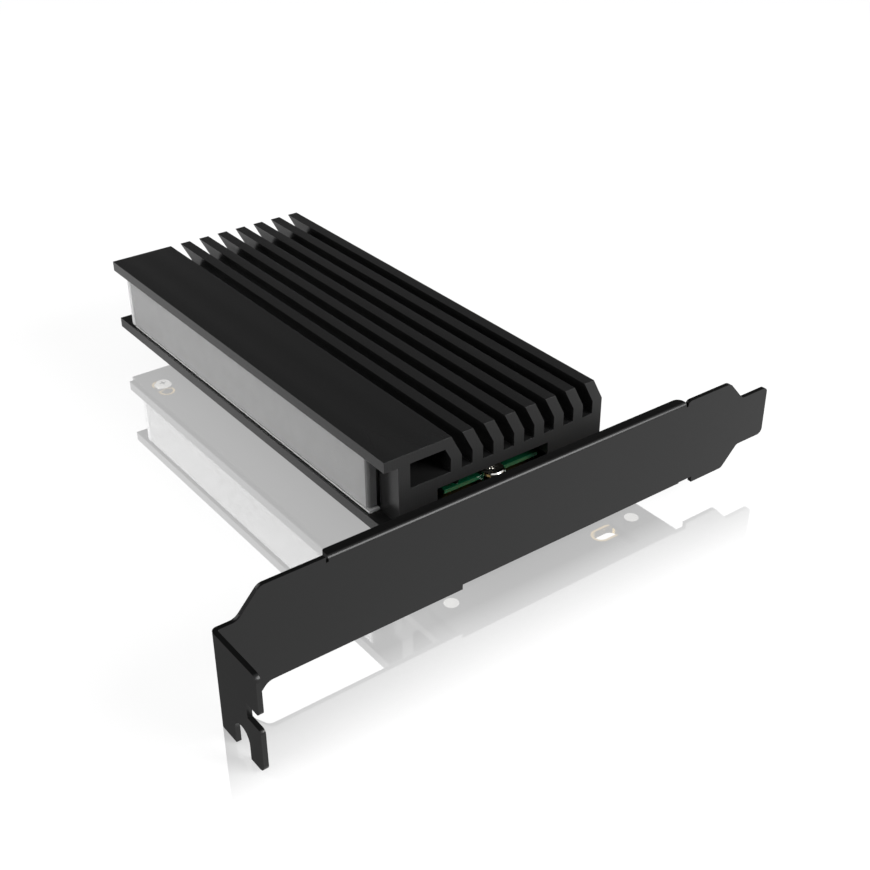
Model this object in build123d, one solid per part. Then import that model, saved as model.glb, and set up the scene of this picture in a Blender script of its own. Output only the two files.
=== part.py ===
"""Adapter card that carries a solid state drive: bracket, board, drive, thermal pads and finned heat sink.

Working frame while modelling, in millimetres: X runs along the bracket from its bent tab to its tongue,
Y runs from the bracket's front face towards the back of the card, Z is up, with zero at the top edge of
the bracket's face. Everything is moved at the end so that the origin is at the centre of the card's
lowest plane. The part is assembled: the drive is screwed down and the heat sink closed over it.
"""
import os
from math import atan2, cos, hypot, pi, sin, tan

from build123d import *

# Bracket, folded from one sheet
SHEET = 0.86
BRACKET_LENGTH = 120.02
FACE_WIDTH = 18.42
TAB_DEPTH = 12.4
TAB_DROP = 4.6
TAB_WIDTH = 18.42
TAB_SHOULDER = 4.2
TONGUE_DROP = 4.3
TONGUE_WIDTH = 10.19
TONGUE_LENGTH = 7.0
SHOULDER_RUN_LEFT, SHOULDER_RUN_RIGHT = 4.2, 3.8
LIP_START, LIP_RIGHT_GAP, LIP_DEPTH = 20.4, 11.62, 2.2
LIP_NOTCH_WIDTH, LIP_NOTCH_DEPTH = 0.5, 1.0
FLANGE_INSET_LEFT, FLANGE_INSET_RIGHT, FLANGE_DEPTH, FLANGE_RAISE = 3.3, 2.1, 2.1, 0.6
EAR_WIDTH, EAR_DEPTH, EAR_ROUND = 7.4, 11.2, 2.2
RELIEF_LENGTH, RELIEF_HEIGHT = 3.4, 1.2
NOTCH_WIDTH, NOTCH_CENTRE_Y, NOTCH_HEIGHT = 4.4, -6.4, 5.0
SIDE_NOTCH_DEPTH, SIDE_NOTCH_WIDTH, SIDE_NOTCH_DROP = 3.7, 2.9, 7.3
BEND_OUTER, BEND_INNER, BEND_SEAT = 1.1, 0.3, 0.4

# Screws that hold the bracket's ears to the board
BRACKET_SCREW_R, BRACKET_HEAD_R, BRACKET_HEAD_HEIGHT = 1.42, 2.1, 1.6
BRACKET_SCREW_END = 1.1
BRACKET_SCREW_INSET_LEFT, BRACKET_SCREW_INSET_RIGHT, BRACKET_SCREW_Y = 3.25, 4.1, 7.4
HEAD_SPACE = 0.1
SCREW_CLEARANCE = 0.03

# Board
BOARD_THICK = 1.57
BOARD_RIGHT_GAP, BOARD_WIDTH = 26.82, 50.2
BOARD_GAP, BOARD_LENGTH = 0.44, 120.4
WING_REACH, WING_LENGTH = 6.5, 14.9
GUIDE_NEAR, GUIDE_WIDTH, GUIDE_REACH = 33.5, 7.4, 6.4
EDGE_NEAR, EDGE_REACH = 45.67, 12.3
EDGE_FIRST, EDGE_KEY, EDGE_SECOND = 11.65, 1.9, 25.45
KEY_DEPTH = 8.1
FINGER_PITCH, FINGER_WIDTH, FINGER_LENGTH = 1.0, 0.7, 5.3
FINGERS_FIRST, FINGERS_SECOND = 11, 21
SLOT_INSET_LEFT, SLOT_INSET_RIGHT = 3.3, 2.7
SLOT_INSET_NEAR, SLOT_INSET_FAR = 23.3, 9.3
SLOT_WIDTH, SLOT_LENGTH, RING = 2.6, 6.4, 0.5
SIDE_SLOT_WIDTH, SIDE_SLOT_LENGTH, SIDE_SLOT_Y = 3.0, 5.6, 8.5
FOIL = 0.05
STRIP_WIDTH, STRIP_NEAR_REACH, STRIP_FAR_GAP = 21.3, 4.2, 4.3
PAD_CLEARANCE = 0.2

# Drive, standard 22 mm by 80 mm card
DRIVE_CENTRE = 25.15
DRIVE_WIDTH, DRIVE_LENGTH, DRIVE_THICK = 22.0, 80.0, 0.8
DRIVE_NEAR = 19.4
DRIVE_HEIGHT = 1.6
DRIVE_FOIL = 0.03
TONGUE_INSET, TONGUE_REACH = 1.075, 4.0
DRIVE_FINGER_PITCH, DRIVE_FINGER_WIDTH, DRIVE_FINGER_LENGTH, DRIVE_FINGER_INSET = 0.5, 0.35, 2.0, 0.3
DRIVE_FINGER_COUNT, KEY_FREE = 38, 1.0
KEY_OFFSET, KEY_SLOT_WIDTH, KEY_SLOT_DEPTH = 6.125, 1.2, 3.5
SCREW_NOTCH_R = 1.85
PACKAGE_HEIGHT = 1.4
PACKAGE_GAP = 2.4
MEMORY_WIDTH, MEMORY_INSET, MEMORY_STAGGER = 18.4, 5.1, 1.3
PARTS_FIELD = 12.4
CACHE_WIDTH, CACHE_LENGTH = 14.3, 10.4
CONTROLLER_WIDTH, CONTROLLER_LENGTH, CONTROLLER_NEAR = 18.4, 14.6, 3.5
PACKAGE_INSET, CACHE_STAGGER, PACKAGE_EDGE = 1.0, 0.3, 0.12
CHIP_LENGTH, CHIP_WIDTH, CHIP_HEIGHT = 1.0, 0.5, 0.35
CHIP_PITCH_X, CHIP_PITCH_Y = 1.35, 1.32
TAN_LENGTH, TAN_WIDTH, TAN_HEIGHT, TAN_PITCH = 2.4, 1.4, 0.9, 2.0
PARTS_INSET, PARTS_START = 1.1, 1.6
SOLDER_LINE, SOLDER_DEPTH, SOLDER_WIDE, SOLDER_NARROW = 2.9, 0.4, 1.0, 0.47
SOLDER_WIDE_PLACES, SOLDER_NARROW_FIRST, SOLDER_NARROW_PITCH = (1.5, 3.3), 13.9, 0.9
SOLDER_DOT_R, SOLDER_DOT_X, SOLDER_DOT_Y = 0.55, 3.3, 0.95
COIL_SIDE, COIL_HEIGHT = 3.2, 1.2
STANDOFF_R, STANDOFF_STEM_R = 2.9, 1.8
DRIVE_SCREW_R, DRIVE_HEAD_R, DRIVE_HEAD_HEIGHT, DRIVE_SCREW_LENGTH = 0.97, 2.37, 0.7, 3.1

# Socket of the drive
SOCKET_BITE = 3.9
SOCKET_DEPTH, SOCKET_HEIGHT = 7.8, 3.1
SOCKET_WALL, MOUTH_SIDE_CLEARANCE, MOUTH_CLEARANCE, MOUTH_DEPTH = 0.85, 0.175, 0.35, 5.6
CONTACT, CONTACT_WIDTH, CONTACT_PITCH, CONTACT_COUNT = 0.15, 0.36, 0.78, 25
ANCHOR_WIDTH, ANCHOR_REACH, ANCHOR_HEIGHT = 1.5, 0.9, 1.2

# Small parts of the board beside the socket
CAPACITOR_GAP, CAPACITOR_LENGTH, CAPACITOR_WIDTH, CAPACITOR_HEIGHT = 1.5, 1.6, 0.8, 0.8
CAPACITOR_PITCH, CAPACITOR_COUNT, CAPACITOR_LEAD, CAPACITOR_SPACE = 2.1, 5, 1.7, 1.1
ARRAY_GAP, ARRAY_LEAD, ARRAY_WIDTH, ARRAY_LENGTH, ARRAY_HEIGHT = 0.75, 9.2, 1.6, 5.0, 0.45
ARRAY_PITCH, ARRAY_COUNT, ARRAY_END, ARRAY_END_WIDTH, ARRAY_END_HEIGHT = 1.2, 4, 0.3, 0.7, 0.5

# Thermal pads
PAD_WIDTH = 18.9
LOWER_PAD_INSET, LOWER_PAD_FAR_GAP = 3.3, 1.3
UPPER_PAD_INSET, UPPER_PAD_FAR_GAP, UPPER_PAD_THICK = 1.2, 0.7, 1.95

# Heat sink extrusion
SINK_LEAD = 2.9
HOOK, HOOK_DROP = 0.85, 0.7
GROOVE_FLOOR, GROOVE_WALL = 1.5, 2.1
BASE_THICK, FIN_STRAIGHT, FIN_BENT = 2.4, 2.7, 4.53
ROOF_THICK = 2.18
FIN_PITCH, FIN_GAP, FIN_LEAN = 4.79, 2.38, 2.35
FIRST_SLOT, FIN_COUNT = 15.85, 7
CHANNEL_WALL = 2.5
RECESS_LEFT, RECESS_RIGHT = 14.7, 10.95
LEDGE_LEFT, LEDGE_CLEARANCE = 3.4, 0.05
SINK_SCREW_R, SINK_SCREW_HEAD_R, SINK_SCREW_HEAD, SINK_SCREW_LENGTH = 0.97, 2.0, 1.3, 6.0
SINK_HOLE_SPARE = 0.55
BAR_THICK, BAR_NEAR_INSET, BAR_FAR_INSET = 2.5, 5.7, 5.2

# Light emitting diodes
LED_FIRST_Y, LED_PITCH, LED_COUNT, LED_INSET = 43.8, 10.62, 6, 2.4
LED_BASE_WIDTH, LED_BASE_LENGTH, LED_BASE_HEIGHT = 1.0, 1.6, 0.2
LED_LENS_WIDTH, LED_LENS_LENGTH, LED_LENS_HEIGHT = 0.9, 1.1, 0.4
WINDOW_SPARE_X, WINDOW_SPARE_Y = 0.85, 1.0

FACE_BOTTOM = -FACE_WIDTH
FLANGE_Z = FACE_BOTTOM + FLANGE_RAISE
BOARD_BOTTOM = FLANGE_Z + SHEET
BOARD_TOP = BOARD_BOTTOM + BOARD_THICK
TAB_TOP = -TAB_DROP
TAB_BOTTOM = TAB_TOP - TAB_WIDTH
BOARD_RIGHT = BRACKET_LENGTH - BOARD_RIGHT_GAP
BOARD_LEFT = BOARD_RIGHT - BOARD_WIDTH
BOARD_NEAR = SHEET + BOARD_GAP
BOARD_FAR = BOARD_NEAR + BOARD_LENGTH
EDGE_END = BOARD_RIGHT + EDGE_REACH
FLANGE_START = BOARD_LEFT + FLANGE_INSET_LEFT
FLANGE_END = BOARD_RIGHT + WING_REACH - FLANGE_INSET_RIGHT
TONGUE_ROOT = BRACKET_LENGTH - TONGUE_LENGTH
SHOULDER_RIGHT = TONGUE_ROOT - SHOULDER_RUN_RIGHT
LIP_END = SHOULDER_RIGHT - LIP_RIGHT_GAP
BRACKET_SCREW_X = (FLANGE_START + BRACKET_SCREW_INSET_LEFT, FLANGE_END - BRACKET_SCREW_INSET_RIGHT)
SIDE_SLOT_X = BRACKET_SCREW_X[1] - BRACKET_HEAD_R - HEAD_SPACE - RING - SIDE_SLOT_LENGTH / 2
SLOT_X = (BOARD_LEFT + SLOT_INSET_LEFT, BOARD_RIGHT - SLOT_INSET_RIGHT)
SLOT_Y = (BOARD_NEAR + SLOT_INSET_NEAR, BOARD_FAR - SLOT_INSET_FAR)

DRIVE_X = BOARD_LEFT + DRIVE_CENTRE
DRIVE_LEFT = DRIVE_X - DRIVE_WIDTH / 2
DRIVE_RIGHT = DRIVE_X + DRIVE_WIDTH / 2
DRIVE_FAR = DRIVE_NEAR + DRIVE_LENGTH
DRIVE_BOTTOM = BOARD_TOP + DRIVE_HEIGHT
DRIVE_TOP = DRIVE_BOTTOM + DRIVE_THICK
PACKAGE_TOP = DRIVE_TOP + PACKAGE_HEIGHT
SOCKET_NEAR = DRIVE_FAR - SOCKET_BITE
SOCKET_FAR = SOCKET_NEAR + SOCKET_DEPTH
SOCKET_WIDTH = DRIVE_WIDTH - 2 * TONGUE_INSET + 2 * (MOUTH_SIDE_CLEARANCE + SOCKET_WALL)
CAPACITOR_X = DRIVE_X + SOCKET_WIDTH / 2 + CAPACITOR_GAP + CAPACITOR_LENGTH / 2
LEDGE_END = CAPACITOR_X + CAPACITOR_LENGTH / 2 + CAPACITOR_SPACE - BOARD_LEFT
KEY_X = DRIVE_X - KEY_OFFSET
CONTROLLER_FAR = DRIVE_NEAR + CONTROLLER_NEAR + CONTROLLER_LENGTH
CACHE_NEAR = CONTROLLER_FAR + PARTS_FIELD
MEMORY_SECOND = CACHE_NEAR + CACHE_LENGTH + PACKAGE_GAP
MEMORY_FAR = DRIVE_FAR - MEMORY_INSET
MEMORY_LENGTH = (MEMORY_FAR - MEMORY_SECOND - PACKAGE_GAP) / 2
MEMORY_FIRST = MEMORY_FAR - MEMORY_LENGTH

SINK_X = BOARD_LEFT
SINK_Z = BOARD_TOP + FOIL
SINK_NEAR = DRIVE_NEAR - SINK_LEAD
SINK_LENGTH = BOARD_FAR - SINK_NEAR
CEILING = PACKAGE_TOP + UPPER_PAD_THICK - SINK_Z
LEDGE = SOCKET_HEIGHT + LEDGE_CLEARANCE
SLOT_FLOOR = CEILING + BASE_THICK
FIN_BEND = SLOT_FLOOR + FIN_STRAIGHT
ROOF_TOP = FIN_BEND + FIN_BENT
ROOF_UNDER = ROOF_TOP - ROOF_THICK
SINK_RIGHT = FIRST_SLOT + FIN_COUNT * FIN_PITCH
LED_X = BOARD_LEFT + LED_INSET
MOVE = Pos(-BRACKET_LENGTH / 2, -(BOARD_FAR - TAB_DEPTH) / 2, -TAB_BOTTOM)


def box(x0, x1, y0, y1, z0, z1):
    """Block between two corners."""
    return Pos((x0 + x1) / 2, (y0 + y1) / 2, (z0 + z1) / 2) * Box(x1 - x0, y1 - y0, z1 - z0)


def block(x, y, width, length, z0, height):
    """Block centred on x and y, standing on z0."""
    return Pos(x, y, z0 + height / 2) * Box(width, length, height)


def disc(x, y, radius, z0, z1):
    """Upright cylinder."""
    return Pos(x, y, (z0 + z1) / 2) * Cylinder(radius, z1 - z0)


def rounded_face(corners):
    """Flat face from (x, y) or (x, y, radius) corners, each rounded by its own radius."""
    count = len(corners)
    stops = []
    for i, corner in enumerate(corners):
        x, y = corner[0], corner[1]
        radius = corner[2] if len(corner) > 2 else 0
        if not radius:
            stops.append(((x, y), None, (x, y)))
            continue
        before, after = corners[i - 1], corners[(i + 1) % count]
        a = atan2(before[1] - y, before[0] - x)
        b = atan2(after[1] - y, after[0] - x)
        half = abs((b - a + pi) % (2 * pi) - pi) / 2
        reach = radius / tan(half)
        start = (x + reach * cos(a), y + reach * sin(a))
        end = (x + reach * cos(b), y + reach * sin(b))
        mid_x, mid_y = cos(a) + cos(b), sin(a) + sin(b)
        size = hypot(mid_x, mid_y)
        middle_reach = radius / sin(half) - radius
        middle = (x + middle_reach * mid_x / size, y + middle_reach * mid_y / size)
        stops.append((start, middle, end))
    edges = []
    for i, (start, middle, end) in enumerate(stops):
        if middle:
            edges.append(ThreePointArc(start, middle, end))
        following = stops[(i + 1) % count][0]
        if hypot(following[0] - end[0], following[1] - end[1]) > 1e-6:
            edges.append(Line(end, following))
    return make_face(Curve() + edges)


def along_y(face, y0, length):
    """Profile drawn in X and Z, pulled towards +Y from y0."""
    return Pos(0, y0, 0) * extrude(Plane.XZ * face, -length)


def along_x(face, x0, length):
    """Profile drawn in Y and Z, pulled towards +X from x0."""
    return Pos(x0, 0, 0) * extrude(Plane.YZ * face, length)


def upward(face, z0, height):
    """Outline drawn in X and Y, pulled up from z0."""
    return Pos(0, 0, z0) * extrude(face, height)


def slot_shape(x, y, width, length, z0, z1, turn=90):
    """Long round-ended block, running along Y unless turned."""
    return Pos(x, y, z0) * Rot(0, 0, turn) * extrude(SlotOverall(length, width), z1 - z0)


def bracket_face_outline():
    """Outline of the bracket's face and tongue, seen from the front."""
    tongue_top = -TONGUE_DROP
    tongue_bottom = tongue_top - TONGUE_WIDTH
    root, shoulder_right = TONGUE_ROOT, SHOULDER_RIGHT
    shoulder_left = TAB_SHOULDER + SHOULDER_RUN_LEFT
    relief = FACE_BOTTOM + RELIEF_HEIGHT
    relief_end = FLANGE_END + RELIEF_LENGTH
    bend = FLANGE_Z + BEND_SEAT
    return rounded_face([
        (0, TAB_TOP), (TAB_SHOULDER, TAB_TOP, 2.2), (shoulder_left, 0, 1.8),
        (LIP_START - LIP_NOTCH_WIDTH, 0), (LIP_START - LIP_NOTCH_WIDTH, -LIP_NOTCH_DEPTH),
        (LIP_START, -LIP_NOTCH_DEPTH), (LIP_START, -0.5), (LIP_END, -0.5), (LIP_END, -LIP_NOTCH_DEPTH),
        (LIP_END + LIP_NOTCH_WIDTH, -LIP_NOTCH_DEPTH), (LIP_END + LIP_NOTCH_WIDTH, 0, 0.8),
        (shoulder_right, 0, 1.6), (root, tongue_top, 0.7),
        (BRACKET_LENGTH, tongue_top, 1.0), (BRACKET_LENGTH, tongue_bottom, 1.2),
        (root, tongue_bottom, 1.0), (shoulder_right, FACE_BOTTOM, 1.2),
        (relief_end, FACE_BOTTOM), (relief_end, relief), (FLANGE_END, relief),
        (FLANGE_END, bend), (FLANGE_START, bend), (FLANGE_START, FACE_BOTTOM),
        (shoulder_left, FACE_BOTTOM, 2.2), (TAB_SHOULDER, TAB_BOTTOM, 1.2), (0, TAB_BOTTOM)])


def tab_outline():
    """Outline of the bent tab, with the open screw slot below and the notch in its near edge."""
    left, right = NOTCH_CENTRE_Y - NOTCH_WIDTH / 2, NOTCH_CENTRE_Y + NOTCH_WIDTH / 2
    notch_top = TAB_BOTTOM + NOTCH_HEIGHT
    round_off = NOTCH_WIDTH / 2 - 0.01
    near = -TAB_DEPTH
    side_top = TAB_TOP - SIDE_NOTCH_DROP
    side_bottom = side_top - SIDE_NOTCH_WIDTH
    side_end = near + SIDE_NOTCH_DEPTH
    return rounded_face([
        (0, TAB_TOP), (near, TAB_TOP, 1.2), (near, side_top, 0.7), (side_end, side_top),
        (side_end, side_bottom), (near, side_bottom, 0.7), (near, TAB_BOTTOM, 1.4),
        (left, TAB_BOTTOM), (left, notch_top, round_off), (right, notch_top, round_off),
        (right, TAB_BOTTOM), (0, TAB_BOTTOM)])


def bracket():
    """Folded bracket with tab, tongue, top lip and bottom flange with two fixing ears."""
    plate = along_y(bracket_face_outline(), 0, SHEET)
    tab = along_x(tab_outline(), 0, SHEET)
    lip_face = rounded_face([(0, -0.6), (0, 0, 0.75), (LIP_DEPTH, 0), (LIP_DEPTH, -SHEET),
                             (SHEET, -SHEET, 0.12), (SHEET, -1.1), (0, -1.1)])
    lip = along_x(lip_face, LIP_START, LIP_END - LIP_START)
    for x, side, radius in ((LIP_START, 1, 0.6), (LIP_END, -1, 1.4)):
        corner = Pos(x, LIP_DEPTH, -1) * Box(2 * radius, 2 * radius, 4)
        lip -= corner - disc(x + side * radius, LIP_DEPTH - radius, radius, -3, 1)
    z = FLANGE_Z
    bend_face = rounded_face([(0, z + 1.6), (0, z, BEND_OUTER), (FLANGE_DEPTH, z), (FLANGE_DEPTH, z + SHEET),
                              (SHEET, z + SHEET, BEND_INNER), (SHEET, z + 1.6)])
    flange = along_x(bend_face, FLANGE_START, FLANGE_END - FLANGE_START)
    for x0 in (FLANGE_START, FLANGE_END - EAR_WIDTH):
        ear = rounded_face([(x0, FLANGE_DEPTH - 0.6), (x0 + EAR_WIDTH, FLANGE_DEPTH - 0.6),
                            (x0 + EAR_WIDTH, EAR_DEPTH, EAR_ROUND), (x0, EAR_DEPTH, EAR_ROUND)])
        flange += upward(ear, z, SHEET)
    solid = plate + tab + lip + flange
    for x in BRACKET_SCREW_X:
        solid -= disc(x, BRACKET_SCREW_Y, BRACKET_SCREW_R + SCREW_CLEARANCE, z - 1, z + 2)
    upright = solid.edges().filter_by(Axis.Z)
    solid = fillet([e for e in upright if abs(e.center().X) < 0.01 and abs(e.center().Y - SHEET) < 0.01], BEND_OUTER)
    upright = solid.edges().filter_by(Axis.Z)
    return fillet([e for e in upright if abs(e.center().X - SHEET) < 0.01 and abs(e.center().Y) < 0.01], BEND_INNER)


def board():
    """Board outline with its guide tab, the edge with the key notch, slots and screw holes."""
    first = EDGE_NEAR + EDGE_FIRST
    second = first + EDGE_KEY
    last = second + EDGE_SECOND
    wing, wing_far = BOARD_RIGHT + WING_REACH, BOARD_NEAR + WING_LENGTH
    guide, guide_far = BOARD_RIGHT + GUIDE_REACH, GUIDE_NEAR + GUIDE_WIDTH
    outline = rounded_face([
        (BOARD_LEFT, BOARD_NEAR), (wing, BOARD_NEAR), (wing, wing_far),
        (BOARD_RIGHT, wing_far, 0.8), (BOARD_RIGHT, GUIDE_NEAR), (guide, GUIDE_NEAR, 1.3),
        (guide, guide_far, 1.3), (BOARD_RIGHT, guide_far, 0.6), (BOARD_RIGHT, EDGE_NEAR, 0.6),
        (EDGE_END, EDGE_NEAR), (EDGE_END, first), (EDGE_END - KEY_DEPTH, first, EDGE_KEY * 0.47),
        (EDGE_END - KEY_DEPTH, second, EDGE_KEY * 0.47), (EDGE_END, second), (EDGE_END, last),
        (BOARD_RIGHT, last, 0.8), (BOARD_RIGHT, BOARD_FAR), (BOARD_LEFT, BOARD_FAR)])
    solid = upward(outline, BOARD_BOTTOM, BOARD_THICK)
    ends = [e for e in solid.edges().filter_by(Axis.Y) if abs(e.center().X - EDGE_END) < 0.01]
    solid = chamfer(ends, 0.35)
    low, high = BOARD_BOTTOM - 1, BOARD_TOP + 1
    for x in SLOT_X:
        for y in SLOT_Y:
            solid -= slot_shape(x, y, SLOT_WIDTH + 2 * RING, SLOT_LENGTH + 2 * RING, low, high)
    solid -= slot_shape(SIDE_SLOT_X, SIDE_SLOT_Y, SIDE_SLOT_WIDTH + 2 * RING, SIDE_SLOT_LENGTH + 2 * RING, low, high, 0)
    for x in BRACKET_SCREW_X:
        solid -= disc(x, BRACKET_SCREW_Y, BRACKET_SCREW_R + 0.15, low, high)
    return solid - disc(DRIVE_X, DRIVE_NEAR, STANDOFF_STEM_R, low, high)


def plating(x, y, width, length, turn):
    """Gold lining of one slot, from ring to ring, proud of the board unless the bracket's ear lies there."""
    low = BOARD_BOTTOM - (FOIL if turn else 0)
    solid = slot_shape(x, y, width + 2 * RING, length + 2 * RING, low, BOARD_TOP + FOIL, turn)
    return solid - slot_shape(x, y, width, length, BOARD_BOTTOM - 1, BOARD_TOP + 1, turn)


def slot_plating():
    """Gold rings of the four slots for the heat sink's screws and of the one near the bracket."""
    pieces = [plating(x, y, SLOT_WIDTH, SLOT_LENGTH, 90) for x in SLOT_X for y in SLOT_Y]
    return pieces + [plating(SIDE_SLOT_X, SIDE_SLOT_Y, SIDE_SLOT_WIDTH, SIDE_SLOT_LENGTH, 0)]


def edge_fingers():
    """Gold fingers of the card edge, on the top and on the underside."""
    first_margin = (EDGE_FIRST - (FINGERS_FIRST - 1) * FINGER_PITCH) / 2
    second_margin = (EDGE_SECOND - (FINGERS_SECOND - 1) * FINGER_PITCH) / 2
    second = EDGE_NEAR + EDGE_FIRST + EDGE_KEY
    places = [EDGE_NEAR + first_margin + i * FINGER_PITCH for i in range(FINGERS_FIRST)]
    places += [second + second_margin + i * FINGER_PITCH for i in range(FINGERS_SECOND)]
    middle = EDGE_END - 0.5 - FINGER_LENGTH / 2
    top = [block(middle, y, FINGER_LENGTH, FINGER_WIDTH, BOARD_TOP, FOIL) for y in places]
    under = [block(middle, y, FINGER_LENGTH, FINGER_WIDTH, BOARD_BOTTOM - FOIL, FOIL) for y in places]
    return top, under


def heat_strip():
    """Bare gold plane under the drive, cut round at the standoff."""
    half = STRIP_WIDTH / 2
    near, far = DRIVE_NEAR - STRIP_NEAR_REACH, SOCKET_NEAR - STRIP_FAR_GAP
    strip = box(DRIVE_X - half, DRIVE_X + half, near, far, BOARD_TOP, BOARD_TOP + FOIL)
    return strip - disc(DRIVE_X, DRIVE_NEAR, STANDOFF_R + PAD_CLEARANCE, BOARD_TOP - 1, BOARD_TOP + 1)


def contact_places():
    """X positions of the socket's contacts, without those at the key."""
    first = DRIVE_X - CONTACT_PITCH * (CONTACT_COUNT - 1) / 2
    places = [first + i * CONTACT_PITCH for i in range(CONTACT_COUNT)]
    return [x for x in places if abs(x - KEY_X) > CONTACT_PITCH * 1.09]


def ribbon(points, x):
    """Contact strip that follows (reach into the socket, height) points, CONTACT thick, centred on x."""
    left, right = [], []
    for i, (y, h) in enumerate(points):
        before, after = points[max(i - 1, 0)], points[min(i + 1, len(points) - 1)]
        dy, dh = after[0] - before[0], after[1] - before[1]
        size = hypot(dy, dh)
        ny, nh = -dh / size * CONTACT / 2, dy / size * CONTACT / 2
        left.append((SOCKET_NEAR + y + ny, BOARD_TOP + h + nh))
        right.append((SOCKET_NEAR + y - ny, BOARD_TOP + h - nh))
    face = make_face(Polyline(*(left + right[::-1]), close=True))
    return along_x(face, x - CONTACT_WIDTH / 2, CONTACT_WIDTH)


def socket_housing():
    """Moulded housing with the mouth for the drive's edge, its key and the channels of the contacts."""
    x0, x1 = DRIVE_X - SOCKET_WIDTH / 2, DRIVE_X + SOCKET_WIDTH / 2
    z = BOARD_TOP
    low, high = DRIVE_HEIGHT - 0.65, DRIVE_HEIGHT + DRIVE_THICK + MOUTH_CLEARANCE
    back = SOCKET_NEAR + MOUTH_DEPTH
    inner0, inner1 = x0 + SOCKET_WALL, x1 - SOCKET_WALL
    housing = box(x0, x1, SOCKET_NEAR, SOCKET_FAR, z, z + SOCKET_HEIGHT)
    housing -= box(inner0, inner1, SOCKET_NEAR - 1, back, z + low, z + high)
    housing -= box(inner0, inner1, SOCKET_NEAR - 1, SOCKET_NEAR + 2.2, z, z + low)
    housing += block(KEY_X, SOCKET_NEAR + 0.9 + (MOUTH_DEPTH - 0.9) / 2, 1.0, MOUTH_DEPTH - 0.9, z + low, high - low)
    shelf = DRIVE_HEIGHT + DRIVE_THICK + 0.205
    housing -= box(inner0, inner1, back, SOCKET_FAR + 1, z + shelf - CONTACT / 2, z + shelf + CONTACT / 2)
    window = rounded_face([(x0 + 3.2, SOCKET_NEAR - 1), (x1 - 3.2, SOCKET_NEAR - 1),
                           (x1 - 3.2, SOCKET_NEAR + 1.1, 0.4), (x0 + 3.2, SOCKET_NEAR + 1.1, 0.4)])
    return housing - upward(window, z + high, 1)


def socket_contacts():
    """Lower and upper rows of sprung contacts that press on the drive's fingers."""
    half = CONTACT / 2
    low, floor = DRIVE_HEIGHT - DRIVE_FOIL - half, DRIVE_HEIGHT - 0.65 + half
    high = DRIVE_HEIGHT + DRIVE_THICK + DRIVE_FOIL + half
    shelf = DRIVE_HEIGHT + DRIVE_THICK + 0.205
    back = SOCKET_DEPTH + half
    lower_path = [(-0.95, half), (-0.3, half), (1.2, low - 0.3), (2.4, low), (3.0, low), (4.4, floor), (MOUTH_DEPTH, floor)]
    upper_path = [(2.3, high), (3.0, high), (4.1, shelf), (back, shelf), (back + 0.01, half), (back + 0.62, half)]
    return [ribbon(lower_path, x) for x in contact_places()], [ribbon(upper_path, x) for x in contact_places()]


def socket_anchors():
    """Angled solder plates at the socket's two ends."""
    pieces = []
    for side in (-1, 1):
        face = DRIVE_X + side * SOCKET_WIDTH / 2
        for y in (SOCKET_NEAR + 1.25, SOCKET_FAR - 1.25):
            foot = block(face + side * ANCHOR_REACH / 2, y, ANCHOR_REACH, ANCHOR_WIDTH, BOARD_TOP, CONTACT)
            pieces.append(foot + block(face + side * CONTACT / 2, y, CONTACT, ANCHOR_WIDTH, BOARD_TOP, ANCHOR_HEIGHT))
    return pieces


def drive_board():
    """Green board of the drive with its tongue, key notch and the half round screw notch."""
    neck = DRIVE_FAR - TONGUE_REACH
    left, right = DRIVE_LEFT, DRIVE_RIGHT
    key0, key1 = KEY_X - KEY_SLOT_WIDTH / 2, KEY_X + KEY_SLOT_WIDTH / 2
    key_end, key_round = DRIVE_FAR - KEY_SLOT_DEPTH, KEY_SLOT_WIDTH * 0.45
    outline = rounded_face([
        (left, DRIVE_NEAR), (right, DRIVE_NEAR), (right, neck), (right - TONGUE_INSET, neck, 0.4),
        (right - TONGUE_INSET, DRIVE_FAR), (key1, DRIVE_FAR), (key1, key_end, key_round),
        (key0, key_end, key_round), (key0, DRIVE_FAR), (left + TONGUE_INSET, DRIVE_FAR),
        (left + TONGUE_INSET, neck, 0.4), (left, neck)])
    solid = upward(outline, DRIVE_BOTTOM, DRIVE_THICK)
    low, high = DRIVE_BOTTOM - 1, DRIVE_TOP + 1
    solid -= disc(DRIVE_X, DRIVE_NEAR, SCREW_NOTCH_R, low, high)
    return solid - disc(left + 1.7, DRIVE_NEAR + 1.5, 0.75, low, high)


def drive_fingers():
    """Gold fingers on both faces of the drive's tongue, clear of its key notch."""
    pieces = []
    first = DRIVE_X - DRIVE_FINGER_PITCH * (DRIVE_FINGER_COUNT - 1) / 2
    middle = DRIVE_FAR - DRIVE_FINGER_INSET - DRIVE_FINGER_LENGTH / 2
    for i in range(DRIVE_FINGER_COUNT):
        x = first + i * DRIVE_FINGER_PITCH
        if abs(x - KEY_X) < KEY_FREE:
            continue
        for z in (DRIVE_TOP, DRIVE_BOTTOM - DRIVE_FOIL):
            pieces.append(block(x, middle, DRIVE_FINGER_WIDTH, DRIVE_FINGER_LENGTH, z, DRIVE_FOIL))
    return pieces


def package(inset, near, width, length):
    """One package on the drive, its left edge inset from the drive's."""
    x = DRIVE_LEFT + inset
    body = box(x, x + width, near, near + length, DRIVE_TOP, PACKAGE_TOP)
    return chamfer(body.edges().group_by(Axis.Z)[-1], PACKAGE_EDGE)


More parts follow.
